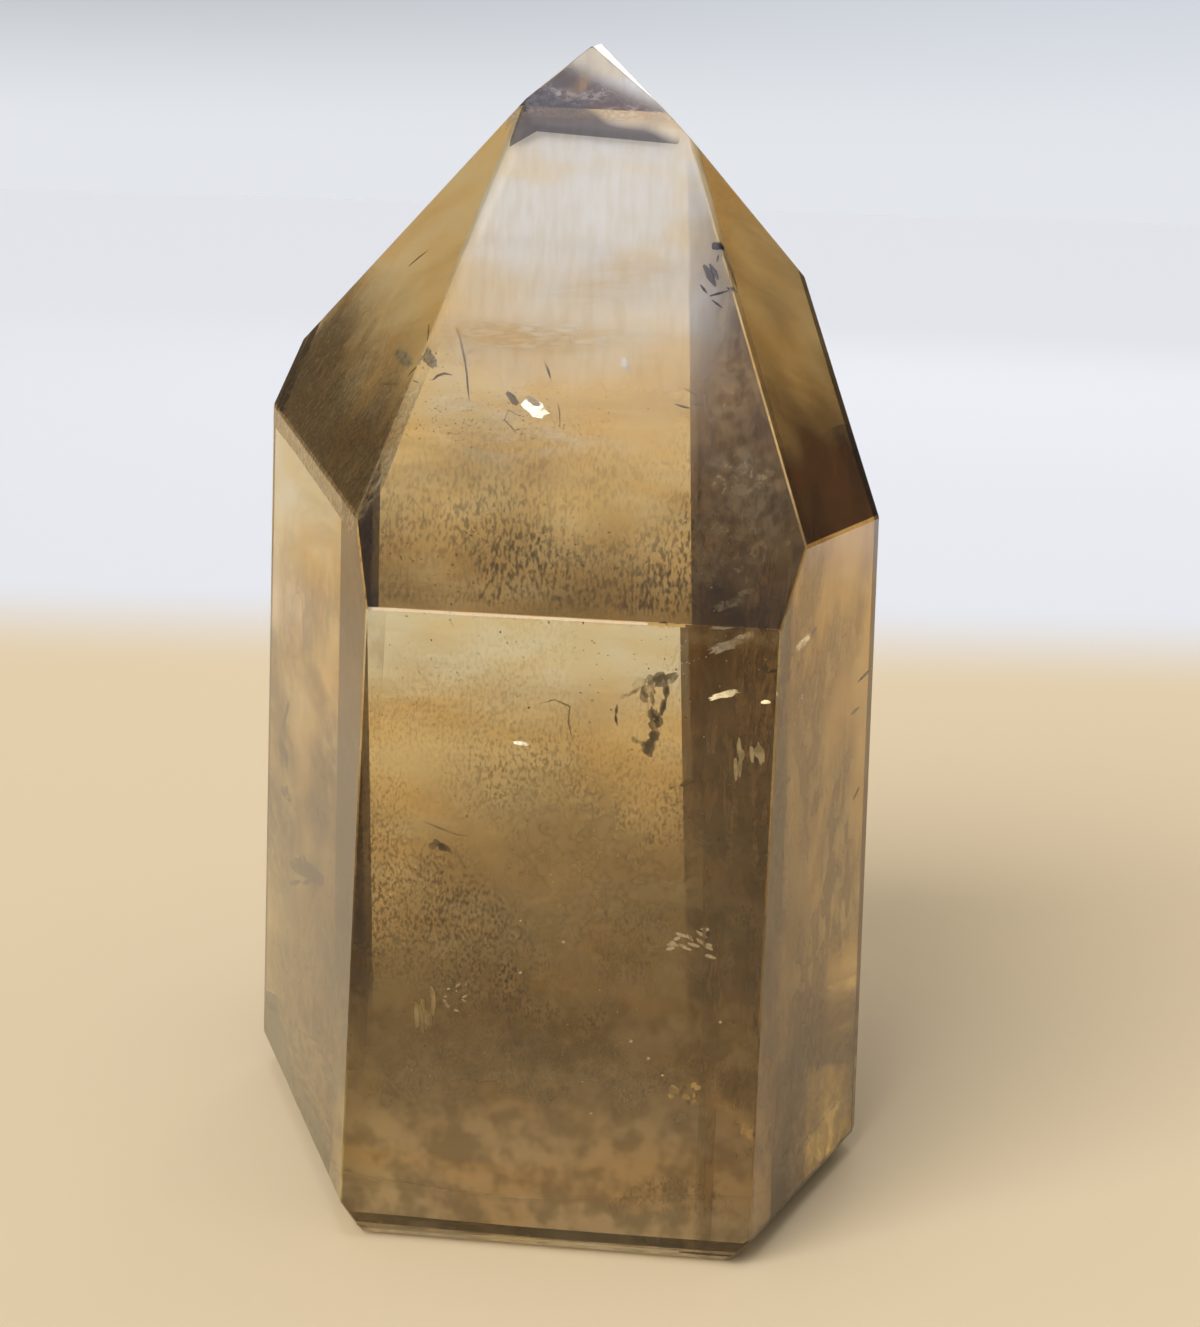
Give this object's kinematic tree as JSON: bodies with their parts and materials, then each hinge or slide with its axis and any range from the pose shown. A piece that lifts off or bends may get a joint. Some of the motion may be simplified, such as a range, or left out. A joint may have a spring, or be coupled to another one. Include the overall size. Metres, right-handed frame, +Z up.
{
  "type": "smoky quartz point",
  "caption": "Polished smoky quartz point: a clear brown six-sided column with a steep faceted tip and a flat base to stand on.",
  "frame": {"origin": "centre of the flat base, on the surface it stands on", "axes": "+Z up along the column to the tip, -Y towards the broad front face, +X to that face's right"},
  "size_m": [0.0579, 0.0696, 0.1006],
  "materials": {
    "smoky_quartz": "polished clear smoky quartz, pale at the tip and hazy brown below"
  },
  "bodies": {
    "root": {"crystal": "smoky_quartz"}
  },
  "joints": []
}
